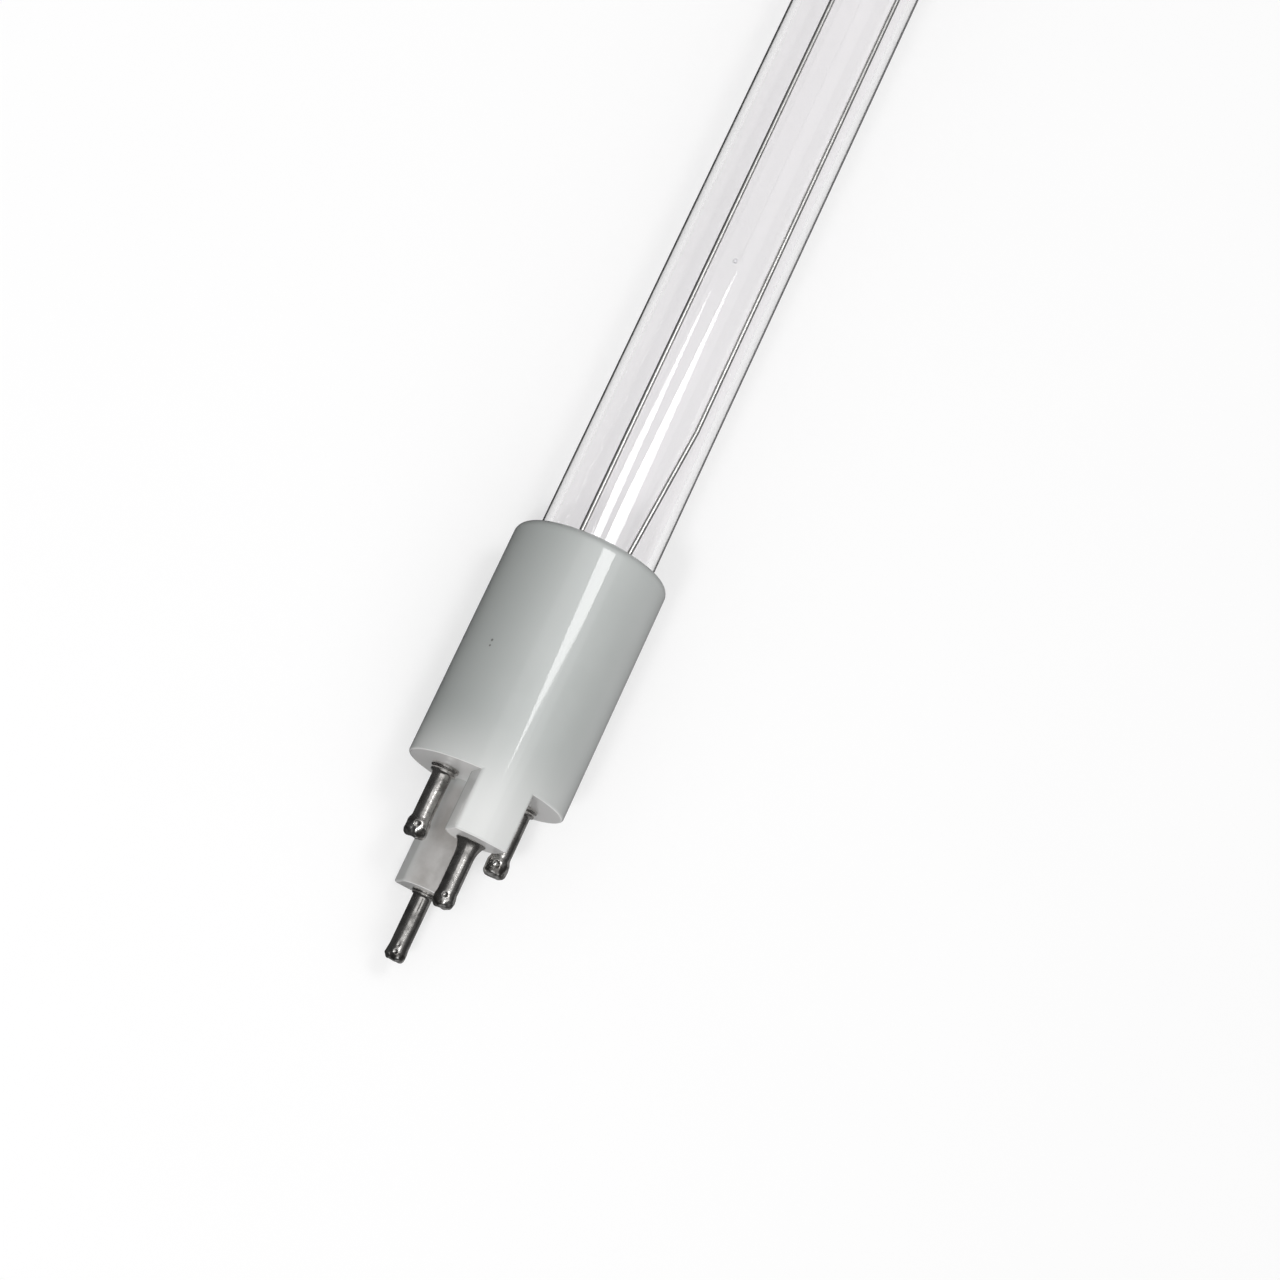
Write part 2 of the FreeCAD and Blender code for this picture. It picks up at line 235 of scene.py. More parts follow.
class LampCeramicSettings(bpy.types.PropertyGroup):
    """The glazed base and cap"""

    colour: FloatVectorProperty(
        name="Glaze", description="Green-grey of the glazed ceramic",
        default=(0.495, 0.515, 0.506, 1.0), size=4, min=0, max=1, subtype="COLOR")
    deep_colour: FloatVectorProperty(
        name="Deep glaze", description="Slightly darker tone of the clouds in the glaze",
        default=(0.46, 0.481, 0.47, 1.0), size=4, min=0, max=1, subtype="COLOR")
    pale_colour: FloatVectorProperty(
        name="Pale end", description="Paler tone at the pin end",
        default=(0.68, 0.687, 0.677, 1.0), size=4, min=0, max=1, subtype="COLOR")
    pale_from: FloatProperty(
        name="Pale from", description="X at which the glaze starts to pale",
        default=-125 * MM, unit="LENGTH")
    pale_to: FloatProperty(
        name="Pale to", description="X at which the glaze is palest",
        default=-138 * MM, unit="LENGTH")
    # Painted shade: the glaze is darker towards high Y, where the base's side lies in shade
    shaded_side_colour: FloatVectorProperty(
        name="Shaded side", description="Painted shade: darkest tone, towards high Y",
        default=(0.355, 0.373, 0.364, 1.0), size=4, min=0, max=1, subtype="COLOR")
    # Painted light: the glaze is lighter towards low Y, where the light falls on the base's side
    lit_side_colour: FloatVectorProperty(
        name="Lit side", description="Painted light: lighter tone towards low Y",
        default=(0.575, 0.594, 0.585, 1.0), size=4, min=0, max=1, subtype="COLOR")
    # A warm tone in the recess, with clouds of painted shade where the tongues and pins shade it
    recess_colour: FloatVectorProperty(
        name="Recess", description="Warm tone on the long tongue and inside the recess",
        default=(0.52, 0.508, 0.496, 1.0), size=4, min=0, max=1, subtype="COLOR")
    recess_shade_colour: FloatVectorProperty(
        name="Recess shade", description="Painted shade in clouds in the recess",
        default=(0.37, 0.352, 0.337, 1.0), size=4, min=0, max=1, subtype="COLOR")
    # Painted light: the flat faces that look towards the pins' tips are painted nearly white
    lit_end_colour: FloatVectorProperty(
        name="End faces", description="Painted light: nearly white on the flat faces towards the pins' tips",
        default=(0.89, 0.882, 0.875, 1.0), size=4, min=0, max=1, subtype="COLOR")
    speck_colour: FloatVectorProperty(
        name="Specks", description="Dark kiln specks",
        default=(0.08, 0.075, 0.07, 1.0), size=4, min=0, max=1, subtype="COLOR")


class LampStageSettings(bpy.types.PropertyGroup):
    """The floor and the light"""

    floor_colour: FloatVectorProperty(
        name="Floor", description="Colour of the pale sheet under the lamp",
        default=(0.93, 0.928, 0.929, 1.0), size=4, min=0, max=1, subtype="COLOR")
    floor_bounce: FloatVectorProperty(
        name="Floor bounce", description="Colour of the light that the floor throws back",
        default=(0.78, 0.78, 0.78, 1.0), size=4, min=0, max=1, subtype="COLOR")
    floor_lift: FloatProperty(
        name="Floor lift", description="Share of plain white in what is seen of the floor near the lamp",
        default=0.48, min=0, max=1, subtype="FACTOR")
    softbox_side: FloatProperty(
        name="Softbox side", description="Side of the square soft light",
        default=0.155, unit="LENGTH")
    softbox_height: FloatProperty(
        name="Softbox height", description="Height of the soft light over the floor",
        default=0.6, unit="LENGTH")
    softbox_power: FloatProperty(
        name="Softbox power", description="Power of the soft light",
        default=0.68, min=0, unit="POWER")
    key_side: FloatProperty(
        name="Key side", description="Side of the square key light",
        default=0.09, unit="LENGTH")
    key_height: FloatProperty(
        name="Key height", description="Height of the key light over the floor",
        default=0.55, unit="LENGTH")
    key_power: FloatProperty(
        name="Key power", description="Power of the key light",
        default=1.15, min=0, unit="POWER")
    room_overhead: FloatProperty(
        name="Overhead level", description="Brightness of the room straight above",
        default=0.98, min=0)
    room_horizon: FloatProperty(
        name="Horizon level", description="Brightness of the room along the horizon",
        default=0.08, min=0)
    room_lean: FloatProperty(
        name="Room lean", description="How much brighter the room is towards low Y than in its middle",
        default=-0.22, min=-1, max=1)
    room_ahead: FloatProperty(
        name="Room ahead", description="How much brighter the room is before the pins than in its middle",
        default=0.5, min=-1, max=1)
    ceiling_level: FloatProperty(
        name="Ceiling level", description="Brightness of the ceiling card that glossy surfaces mirror",
        default=0.10, min=0)


# Colours

def grey(level):
    """A plain grey, or white at 1."""
    return (level, level, level, 1.0)


def darker(colour, share):
    """The same colour at a share of its brightness."""
    return [channel * share for channel in colour[:3]] + [1.0]


# Shader building blocks

def tree_of(material):
    """The nodes and links of a material or a world."""
    return material.node_tree.nodes, material.node_tree.links


def give(links, value, socket):
    """Links a value that changes to a socket, or sets a plain one on it."""
    if isinstance(value, bpy.types.NodeSocket):
        links.new(value, socket)
    else:
        socket.default_value = value


def math_of(nodes, links, operation, first, *others):
    """One operation over two or more values, each a socket or a number, in a chain of Math nodes."""
    for other in others:
        node = nodes.new("ShaderNodeMath")
        node.operation = operation
        give(links, first, node.inputs[0])
        give(links, other, node.inputs[1])
        first = node.outputs["Value"]
    return first


def ramp_of(nodes, links, value, start=0.0, end=1.0, low=0.0, high=1.0, soft=True):
    """Low up to the start and high from the end on, with an eased rise between or else a straight one."""
    node = nodes.new("ShaderNodeMapRange")
    node.interpolation_type = "SMOOTHSTEP" if soft else "LINEAR"
    give(links, value, node.inputs["Value"])
    give(links, start, node.inputs["From Min"])
    give(links, end, node.inputs["From Max"])
    give(links, low, node.inputs["To Min"])
    give(links, high, node.inputs["To Max"])
    return node.outputs["Result"]


def group_tree(name, **inputs):
    """An empty shader group that turns a vector, and inputs given by their defaults, into a mask."""
    tree = bpy.data.node_groups.new(name, "ShaderNodeTree")
    tree.interface.new_socket("Vector", in_out="INPUT", socket_type="NodeSocketVector")
    for label, default in inputs.items():
        kind = "NodeSocketFloat" if isinstance(default, float) else "NodeSocketVector"
        socket = tree.interface.new_socket(label, in_out="INPUT", socket_type=kind)
        socket.default_value = default
    tree.interface.new_socket("Mask", in_out="OUTPUT", socket_type="NodeSocketFloat")
    given = tree.nodes.new("NodeGroupInput").outputs
    out = tree.nodes.new("NodeGroupOutput").inputs
    return tree, given, out


def mottle_group():
    """Soft cloudy variation: a broad pattern and a finer one laid over it."""
    tree, given, out = group_tree("mottle", Scale=80.0, Low=0.35, High=0.65)
    clouds = tree.nodes.new("ShaderNodeTexNoise")
    clouds.inputs["Detail"].default_value = 5.0
    clouds.inputs["Roughness"].default_value = 0.55
    tree.links.new(given["Vector"], clouds.inputs["Vector"])
    tree.links.new(given["Scale"], clouds.inputs["Scale"])
    mask = ramp_of(tree.nodes, tree.links, clouds.outputs["Fac"], given["Low"], given["High"])
    tree.links.new(mask, out["Mask"])
    return tree


def streak_group():
    """Fine lines along X, as drawn glass, drawn wire and rolled metal have."""
    tree, given, out = group_tree("streaks_along_x", Fineness=2500.0, Stretch=0.02)
    stretch = tree.nodes.new("ShaderNodeCombineXYZ")
    stretch.inputs["Y"].default_value = 1.0
    stretch.inputs["Z"].default_value = 1.0
    drawn = tree.nodes.new("ShaderNodeVectorMath")
    drawn.operation = "MULTIPLY"
    lines = tree.nodes.new("ShaderNodeTexNoise")
    lines.inputs["Detail"].default_value = 3.0
    tree.links.new(given["Stretch"], stretch.inputs["X"])
    tree.links.new(given["Vector"], drawn.inputs[0])
    tree.links.new(stretch.outputs["Vector"], drawn.inputs[1])
    tree.links.new(drawn.outputs["Vector"], lines.inputs["Vector"])
    tree.links.new(given["Fineness"], lines.inputs["Scale"])
    tree.links.new(lines.outputs["Fac"], out["Mask"])
    return tree


def speck_group():
    """Sparse round specks: one place in each cell, most of them left out."""
    tree, given, out = group_tree("specks", Scale=300.0, Share=0.05, Size=0.12)
    nodes, links = tree.nodes, tree.links
    cells = nodes.new("ShaderNodeTexVoronoi")
    parts = nodes.new("ShaderNodeSeparateColor")
    links.new(given["Vector"], cells.inputs["Vector"])
    links.new(given["Scale"], cells.inputs["Scale"])
    links.new(cells.outputs["Color"], parts.inputs["Color"])
    chosen = math_of(nodes, links, "LESS_THAN", parts.outputs["Red"], given["Share"])
    near = ramp_of(nodes, links, cells.outputs["Distance"], 0.0, given["Size"], 1.0, 0.0)
    links.new(math_of(nodes, links, "MULTIPLY", chosen, near), out["Mask"])
    return tree


def spot_group():
    """One soft round spot at a given place."""
    tree, given, out = group_tree("spot", Place=(0.0, 0.0, 0.0), Size=0.2 * MM)
    away = tree.nodes.new("ShaderNodeVectorMath")
    away.operation = "DISTANCE"
    tree.links.new(given["Vector"], away.inputs[0])
    tree.links.new(given["Place"], away.inputs[1])
    near = ramp_of(tree.nodes, tree.links, away.outputs["Value"], 0.0, given["Size"], 1.0, 0.0)
    tree.links.new(near, out["Mask"])
    return tree


GROUPS = {
    "mottle": mottle_group,
    "streaks_along_x": streak_group,
    "specks": speck_group,
    "spot": spot_group,
}


class Finish:
    """A Principled material, with short ways to place shared groups and masks in it.

    Patterns are read at the object's own coordinates, and one mask reads the way that a face looks.
    """

    def __init__(self, name, **plain):
        self.material = bpy.data.materials.new(name)
        self.material.use_nodes = True
        self.nodes, self.links = tree_of(self.material)
        self.shader = self.nodes["Principled BSDF"]
        coordinates = self.nodes.new("ShaderNodeTexCoord").outputs
        self.place, self.looks = coordinates["Object"], coordinates["Normal"]
        for label, value in plain.items():
            self.shader.inputs[label.replace("_", " ")].default_value = value

    def effect(self, group, **values):
        """The mask of a shared group, which is built when it is first asked for."""
        node = self.nodes.new("ShaderNodeGroup")
        node.node_tree = bpy.data.node_groups.get(group) or GROUPS[group]()
        self.links.new(self.place, node.inputs["Vector"])
        for label, value in values.items():
            node.inputs[label].default_value = value
        return node.outputs["Mask"]

    def ramp(self, value, *limits, **more):
        """A ramp in this material; see ramp_of."""
        return ramp_of(self.nodes, self.links, value, *limits, **more)

    def axis_of(self, vector, axis):
        """One axis of a vector socket."""
        parts = self.nodes.new("ShaderNodeSeparateXYZ")
        self.links.new(vector, parts.inputs["Vector"])
        return parts.outputs[axis]

    def along(self, axis, start, end):
        """A mask that rises from the start to the end along one axis."""
        return self.ramp(self.axis_of(self.place, axis), start, end)

    def towards_tips(self):
        """1 on faces that look along the lamp towards the pins' tips, and 0 on its sides."""
        return self.ramp(self.axis_of(self.looks, "X"), -0.6, -0.95)

    def both(self, first, second):
        """The product of two masks."""
        return math_of(self.nodes, self.links, "MULTIPLY", first, second)

    def distance_from_axis(self):
        """Distance from the lamp axis."""
        flat = self.nodes.new("ShaderNodeVectorMath")
        flat.operation = "MULTIPLY_ADD"
        flat.inputs[1].default_value = (0.0, 1.0, 1.0)
        flat.inputs[2].default_value = (0.0, 0.0, -AXIS_Z)
        self.links.new(self.place, flat.inputs[0])
        return self.length_of(flat.outputs["Vector"])

    def length_of(self, vector):
        """The length of a vector socket."""
        node = self.nodes.new("ShaderNodeVectorMath")
        node.operation = "LENGTH"
        self.links.new(vector, node.inputs[0])
        return node.outputs["Value"]

    def two_tones(self, mask, first, second):
        """A colour that goes from the first to the second as the mask rises."""
        mix = self.nodes.new("ShaderNodeMix")
        mix.data_type = "RGBA"
        self.links.new(mask, mix.inputs["Factor"])
        for label, value in (("A", first), ("B", second)):
            socket = [s for s in mix.inputs if s.name == label and s.type == "RGBA"][0]
            give(self.links, value, socket)
        return [s for s in mix.outputs if s.type == "RGBA"][0]

    def between(self, mask, low, high):
        """The mask stretched to run from low to high."""
        return self.ramp(mask, low=low, high=high, soft=False)

    def bump(self, mask, strength, distance, after=None):
        """Relief from a mask; the distance is its height."""
        node = self.nodes.new("ShaderNodeBump")
        node.inputs["Strength"].default_value = strength
        node.inputs["Distance"].default_value = distance
        self.links.new(mask, node.inputs["Height"])
        if after is not None:
            self.links.new(after, node.inputs["Normal"])
        return node.outputs["Normal"]

    def feed(self, label, socket):
        """Links a socket to one of the shader's own."""
        self.links.new(socket, self.shader.inputs[label])

    def lay_over(self, share, other):
        """Mixes another shader over this one, by the share that a socket gives."""
        mix = self.nodes.new("ShaderNodeMixShader")
        self.links.new(share, mix.inputs["Fac"])
        self.links.new(self.shader.outputs["BSDF"], mix.inputs[1])
        self.links.new(other, mix.inputs[2])
        self.links.new(mix.outputs["Shader"], self.nodes["Material Output"].inputs["Surface"])


# Finishes

def recess_tone_and_shade_mask(finish):
    """1 on what lies between the long and the middle tongue, past the barrel's face: where the warm tone and
    painted shade go.
    """
    under_middle = finish.along("Z", AXIS_Z + 1.6 * MM, AXIS_Z)
    over_long = finish.along("Z", AXIS_Z - 5.5 * MM, AXIS_Z - 3.0 * MM)
    past_face = finish.along("X", FACE_X - 0.2 * MM, FACE_X - 1.5 * MM)
    return finish.both(past_face, finish.both(under_middle, over_long))


def ceramic_finish(look):
    """Glazed ceramic: a sharp glaze over a softer body, paler at the pin end, with rare kiln specks."""
    # Shade is painted towards high Y and in the recess, and light towards low Y and on the end faces
    finish = Finish("glazed_ceramic", Coat_Weight=1.0, Coat_Roughness=0.06, Coat_IOR=1.42,
                    Specular_IOR_Level=0.4)
    cloud = finish.effect("mottle", Scale=70.0, Low=0.3, High=0.7)
    colour = finish.two_tones(cloud, look.deep_colour, look.colour)
    # Painted shade towards high Y and painted light towards low Y, for how the light falls across the base
    shaded_side = finish.along("Y", BARREL_RADIUS * 0.1, BARREL_RADIUS)
    colour = finish.two_tones(shaded_side, colour, look.shaded_side_colour)
    thin = finish.along("Y", -BARREL_RADIUS * 0.4, -BARREL_RADIUS)
    colour = finish.two_tones(thin, colour, look.lit_side_colour)
    colour = finish.two_tones(finish.along("X", look.pale_from, look.pale_to), colour, look.pale_colour)
    # The recess gets a warm tone with clouds of painted shade, for the shade between the tongues
    recess_shade_clouds = finish.effect("mottle", Scale=190.0, Low=0.35, High=0.65)
    clouded = finish.two_tones(recess_shade_clouds, look.recess_colour, look.recess_shade_colour)
    colour = finish.two_tones(recess_tone_and_shade_mask(finish), colour, clouded)
    # Painted light: faces turned towards the pins' tips go nearly white
    colour = finish.two_tones(finish.towards_tips(), colour, look.lit_end_colour)
    specks = finish.effect("specks", Scale=240.0, Share=0.010, Size=0.07)
    colour = finish.two_tones(specks, colour, look.speck_colour)
    for x, turn, size in KILN_SPECKS:
        around = math.radians(turn)
        place = (x, BARREL_RADIUS * math.sin(around), AXIS_Z + BARREL_RADIUS * math.cos(around))
        spot = finish.effect("spot", Place=place, Size=size)
        colour = finish.two_tones(spot, colour, look.speck_colour)
    finish.feed("Base Color", colour)
    finish.feed("Roughness", finish.between(cloud, 0.32, 0.44))
    wave = finish.effect("mottle", Scale=300.0, Low=0.2, High=0.8)
    grain = finish.effect("mottle", Scale=2600.0, Low=0.35, High=0.75)
    rolling = finish.bump(wave, strength=0.2, distance=0.02 * MM)
    finish.feed("Normal", finish.bump(grain, strength=0.06, distance=0.006 * MM, after=rolling))
    return finish.material


def quartz_finish(look):
    """Clear fused quartz with faint draw lines.

    Light on its way to what is inside passes straight through, tinted and dimmed towards the tube's edges.
    The outer wall is painted near black where it turns away from the eye, a painted dark outline.
    """
    finish = Finish("fused_quartz", Transmission_Weight=1.0, IOR=1.458, Metallic=0.0)
    nodes, links = finish.nodes, finish.links
    lines = finish.effect("streaks_along_x", Fineness=1500.0, Stretch=0.012)
    haze = finish.effect("mottle", Scale=45.0, Low=0.3, High=0.8)
    finish.feed("Roughness", finish.between(haze, 0.0, 0.012))
    finish.feed("Normal", finish.bump(lines, strength=0.004, distance=0.01 * MM))
    glance = nodes.new("ShaderNodeLayerWeight")
    glance.inputs["Blend"].default_value = 0.5
    turned = glance.outputs["Facing"]
    # Painted shade: the outer wall's colour goes near black at the tube's outline
    half_way = look.radius - look.wall / 2
    outer_wall = math_of(nodes, links, "GREATER_THAN", finish.distance_from_axis(), half_way)
    edge = finish.both(finish.ramp(turned, *PAINTED_EDGE_SHADE_TURN), outer_wall)
    tint = finish.two_tones(haze, look.colour, look.haze_colour)
    finish.feed("Base Color", finish.two_tones(edge, tint, grey(0.01)))
    passed = finish.two_tones(finish.ramp(turned, *SHADOW_TURN), look.shadow_colour, grey(0.15))
    straight = nodes.new("ShaderNodeBsdfTransparent")
    links.new(passed, straight.inputs["Color"])
    path = nodes.new("ShaderNodeLightPath").outputs
    spread = math_of(nodes, links, "MAXIMUM", path["Is Shadow Ray"], path["Is Diffuse Ray"])
    finish.lay_over(spread, straight.outputs["BSDF"])
    return finish.material


def metal_finish(name, colour, roughness, stretch=0.03, tone=0.78):
    """Drawn or rolled metal: lengthwise streaks in gloss and relief, with a cloudy tarnish."""
    finish = Finish(name, Metallic=1.0)
    lines = finish.effect("streaks_along_x", Fineness=3000.0, Stretch=stretch)
    tarnish = finish.effect("mottle", Scale=420.0, Low=0.35, High=0.7)
    finish.feed("Base Color", finish.two_tones(tarnish, darker(colour, tone), colour))
    finish.feed("Roughness", finish.between(lines, roughness * 0.75, roughness * 1.3))
    finish.feed("Normal", finish.bump(lines, strength=0.1, distance=0.02 * MM))
    return finish.material


def pin_finish(look):
    """Dark nickel, drawn lengthwise, with cloudy tarnish and fine pitting."""
    finish = Finish("dark_nickel", Metallic=1.0)
    lines = finish.effect("streaks_along_x", Fineness=3200.0, Stretch=0.06)
    tarnish = finish.effect("mottle", Scale=620.0, Low=0.35, High=0.68)
    pits = finish.effect("mottle", Scale=3600.0, Low=0.38, High=0.62)
    clouded = finish.two_tones(tarnish, darker(look.colour, 0.38), look.colour)
    worn = finish.two_tones(finish.both(pits, tarnish), clouded, darker(look.colour, 0.8))
    finish.feed("Base Color", worn)
    finish.feed("Roughness", finish.between(tarnish, 0.3, 0.14))
    relief = finish.bump(pits, strength=0.14, distance=0.02 * MM)
    finish.feed("Normal", finish.bump(lines, strength=0.25, distance=0.02 * MM, after=relief))
    return finish.material


def solder_finish():
    """The soldered and crimped tips: smooth bright solder, with dark flux in the hollows."""
    finish = Finish("pin_solder", Metallic=1.0)
    flux = finish.effect("mottle", Scale=1100.0, Low=0.4, High=0.6)
    finish.feed("Base Color", finish.two_tones(flux, (0.20, 0.19, 0.18, 1.0), (0.80, 0.79, 0.77, 1.0)))
    finish.feed("Roughness", finish.between(flux, 0.3, 0.1))
    finish.feed("Normal", finish.bump(flux, strength=0.4, distance=0.05 * MM))
    return finish.material


def powder_finish(name, light, dark, scale, depth):
    """Dry, rough stuff such as cement, woven glass sleeving or the cathodes' coating."""
    finish = Finish(name, Roughness=0.9)
    clump = finish.effect("mottle", Scale=scale, Low=0.3, High=0.7)
    grain = finish.effect("mottle", Scale=scale * 6, Low=0.3, High=0.7)
    finish.feed("Base Color", finish.two_tones(clump, dark, light))
    finish.feed("Roughness", finish.between(grain, 0.8, 0.98))
    finish.feed("Normal", finish.bump(grain, strength=0.5, distance=depth))
    return finish.material


def droplet_finish():
    """Liquid metal, with a faint skin."""
    finish = Finish("liquid_mercury", Metallic=1.0)
    skin = finish.effect("mottle", Scale=900.0, Low=0.4, High=0.8)
    finish.feed("Base Color", finish.two_tones(skin, (0.72, 0.72, 0.74, 1.0), (0.62, 0.62, 0.64, 1.0)))
    finish.feed("Roughness", finish.between(skin, 0.03, 0.12))
    return finish.material


# Mesh helpers

def object_from(name, bm, material):
    """Turns a finished bmesh into an object with one material, and frees the bmesh."""
    mesh = bpy.data.meshes.new(name)
    bm.to_mesh(mesh)
    bm.free()
    mesh.materials.append(material)
    made = bpy.data.objects.new(name, mesh)
    bpy.context.scene.collection.objects.link(made)
    return made


def finish_piece(name, bm, material, replaced):
    """Turns a finished bmesh into a smooth-shaded piece that rides on the lamp in place of packed nodes."""
    piece = object_from(name, bm, material)
    piece.data.shade_smooth()
    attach(piece, ROOT)
    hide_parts(*replaced)
    return piece


def dress(material, *names):
    """Gives packed nodes a material."""
    for name in names:
        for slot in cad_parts[name].material_slots:
            slot.material = material


def absorb(bm, other):
    """Adds another bmesh to this one and frees it."""
    spare = bpy.data.meshes.new("spare")
    other.to_mesh(spare)
    other.free()
    bm.from_mesh(spare)
    bpy.data.meshes.remove(spare)


def turned_piece(outline, centre, steps):
    """Spins an outline of X and radius pairs about a line along X through the centre, in a new bmesh."""
    bm = bmesh.new()
    points = [bm.verts.new((x, 0, radius)) for x, radius in outline]
    edges = [bm.edges.new(pair) for pair in zip(points, points[1:])]
    bmesh.ops.spin(bm, geom=points + edges, cent=(0, 0, 0), axis=(1, 0, 0), angle=2 * math.pi,
                   steps=steps, use_merge=True, use_duplicate=False)
    bmesh.ops.remove_doubles(bm, verts=bm.verts, dist=1e-7)
    bmesh.ops.translate(bm, verts=bm.verts, vec=centre)
    bmesh.ops.recalc_face_normals(bm, faces=bm.faces)
    return bm


def arc(centre_x, centre_r, radius, start, end, steps):
    """Points of an outline on an arc, with angles in degrees from the X direction."""
    found = []
    for step in range(steps + 1):
        turn = math.radians(start + (end - start) * step / steps)
        found.append((centre_x + radius * math.cos(turn), centre_r + radius * math.sin(turn)))
    return found


def straight_run(start, end, radius, steps):
    """Points of an outline along a straight part, without its start."""
    return [(start + (end - start) * index / steps, radius) for index in range(1, steps + 1)]


def soft_rise(x, start, length):
    """0 before the start, 1 after the length, and a soft rise between."""
    share = min(max((x - start) / length, 0.0), 1.0)
    return share * share * (3 - 2 * share)


# Quartz tube

def ring_places(near, far, shoulder):
    """X of the rings of a pressed shell: close on its shoulders and just inside them, and sparse between."""
    rings = [near + shoulder * step / SHOULDER_RINGS for step in range(SHOULDER_RINGS + 1)]
    rings += [far - shoulder * step / SHOULDER_RINGS for step in range(SHOULDER_RINGS + 1)]
    for inward in SUPPORT_RINGS:
        rings += [near + shoulder + inward, far - shoulder - inward]
    rings += [near + (far - near) * step / BODY_RINGS for step in range(2, BODY_RINGS - 1)]
    return rings


def pressed_shell(radius, low, high, flat, half_flat, shoulder):
    """A closed round shell from low to high X, pressed flat at both ends."""
    bm = bmesh.new()
    bmesh.ops.create_cone(bm, cap_ends=True, segments=TUBE_SEGMENTS, radius1=radius, radius2=radius,
                          depth=high - low)
    bmesh.ops.rotate(bm, verts=bm.verts, matrix=Matrix.Rotation(QUARTER, 3, "Y"))
    bmesh.ops.translate(bm, verts=bm.verts, vec=((low + high) / 2, 0, 0))
    near, far = low + flat, high - flat
    for x in ring_places(near, far, shoulder):
        geometry = bm.verts[:] + bm.edges[:] + bm.faces[:]
        bmesh.ops.bisect_plane(bm, geom=geometry, dist=1e-7, plane_co=(x, 0, 0), plane_no=(1, 0, 0))
    for vert in bm.verts:
        rise = min(soft_rise(vert.co.x, near, shoulder), soft_rise(-vert.co.x, -far, shoulder))
        limit = half_flat + (radius - half_flat) * rise
        vert.co.z = min(max(vert.co.z, -limit), limit)
    bmesh.ops.translate(bm, verts=bm.verts, vec=(0, 0, AXIS_Z))
    bmesh.ops.recalc_face_normals(bm, faces=bm.faces)
    return bm


def filling_stub(look, seal_end):
    """The closed filling stub, rooted inside its seal and rounded at its free end."""
    root, tip = seal_end - STUB_ROOT, seal_end + look.stub_length
    edge = look.stub_radius * 0.6
    outline = [(root, 0.0), (root, look.stub_radius)]
    outline += arc(tip - edge, look.stub_radius - edge, edge, 90, 0, 8)
    outline.append((tip, 0.0))
    return turned_piece(outline, (0, 0, AXIS_Z), 32)


class LAMP_OT_quartz_tube(bpy.types.Operator):
    """Smooth quartz tube with pressed ends and a closed filling stub."""

    bl_idname = "lamp.quartz_tube"
    bl_label = "Quartz tube"

    def execute(self, context):
        look = context.scene.lamp_glass
        low, high = QUARTZ_LOW.x, QUARTZ_HIGH.x - look.stub_length
        bm = pressed_shell(look.radius, low, high, look.seal_length, look.seal_thickness / 2, look.shoulder)
        inset = look.seal_length + look.wall
        hollow = pressed_shell(look.radius - look.wall, low + inset, high - inset, 0.0, look.crotch / 2,
                               look.shoulder)
        bmesh.ops.reverse_faces(hollow, faces=hollow.faces)
        absorb(bm, hollow)
        absorb(bm, filling_stub(look, high))
        finish_piece("quartz_envelope", bm, quartz_finish(look), ["quartz_tube"])
        return {"FINISHED"}


# Ceramic ends

class LAMP_OT_ceramics(bpy.types.Operator):
    """Glaze on the pin base and the end cap, and the cement inside them."""

    bl_idname = "lamp.ceramics"
    bl_label = "Ceramic ends"

    def execute(self, context):
        dress(ceramic_finish(context.scene.lamp_ceramic), "pin_base", "end_cap")
        cement = powder_finish("ceramic_cement", light=(0.80, 0.78, 0.73, 1.0), dark=(0.66, 0.64, 0.60, 1.0),
                               scale=900.0, depth=0.05 * MM)
        dress(cement, "base_cement", "cap_cement")
        return {"FINISHED"}


# Contact pins

def ringed_collar(look, rings, edge, steps, foot):
    """Outline of a collar made of flat rings with rounded edges."""
    points = []
    for start, end, under in rings:
        rim = look.collar_radius - under - edge
        points += arc(-start - edge, rim, edge, 0, 90, steps)
        points += arc(-end + edge, rim, edge, 90, 180, steps)
        points.append((-end, look.radius + foot))
    return points


def trumpet_collar(look):
    """Outline of a collar that flares out of the pin to a thin rounded lip."""
    lip, neck_start, neck_length, steps = 0.08 * MM, 0.15 * MM, 2.0 * MM, 12
    flare = look.collar_radius - 0.1 * MM - look.radius
    points = arc(-lip, look.collar_radius - lip, lip, 0, 150, 5)
    for index in range(1, steps + 1):
        share = index / steps
        points.append((-neck_start - neck_length * share, look.radius + flare * (1 - share) ** 2.4))
    return points


def pin_outline(look, form, reach, tail):
    """Half outline of a turned pin; X is 0 on the ceramic's face and falls towards the tip."""
    tip_radius, tip_length = form["tip"]
    flange = tail + FLANGE_THICKNESS
    points = [(flange, look.bore), (flange, FLANGE_RADIUS), (tail, FLANGE_RADIUS), (tail, look.radius),
              (0, look.radius)]
    if form["collar"] == "trumpet":
        points += trumpet_collar(look)
    else:
        points += ringed_collar(look, **COLLAR_RINGS[form["collar"]])
    neck = -(reach - tip_length - NECK_LENGTH)
    points += straight_run(points[-1][0], neck, look.radius, 16)
    for index in range(1, 9):
        share = index / 8
        widening = (tip_radius - look.radius) * soft_rise(share, 0.0, 1.0)
        points.append((neck - NECK_LENGTH * share, look.radius + widening))
    body = -(reach - NOSE_RADIUS)
    points += straight_run(points[-1][0], body, tip_radius, 8)
    points += arc(body, tip_radius - NOSE_RADIUS, NOSE_RADIUS, 90, 180, 10)
    points += [(-reach, (tip_radius - NOSE_RADIUS) * share) for share in (0.75, 0.5, 0.25, 0.0)]
    return points


def press_dent(bm, centre, radius):
    """Pushes what lies inside a ball out to the ball's surface."""
    for vert in bm.verts:
        away = vert.co - centre
        if away.length < radius:
            vert.co = centre + away.normalized() * radius


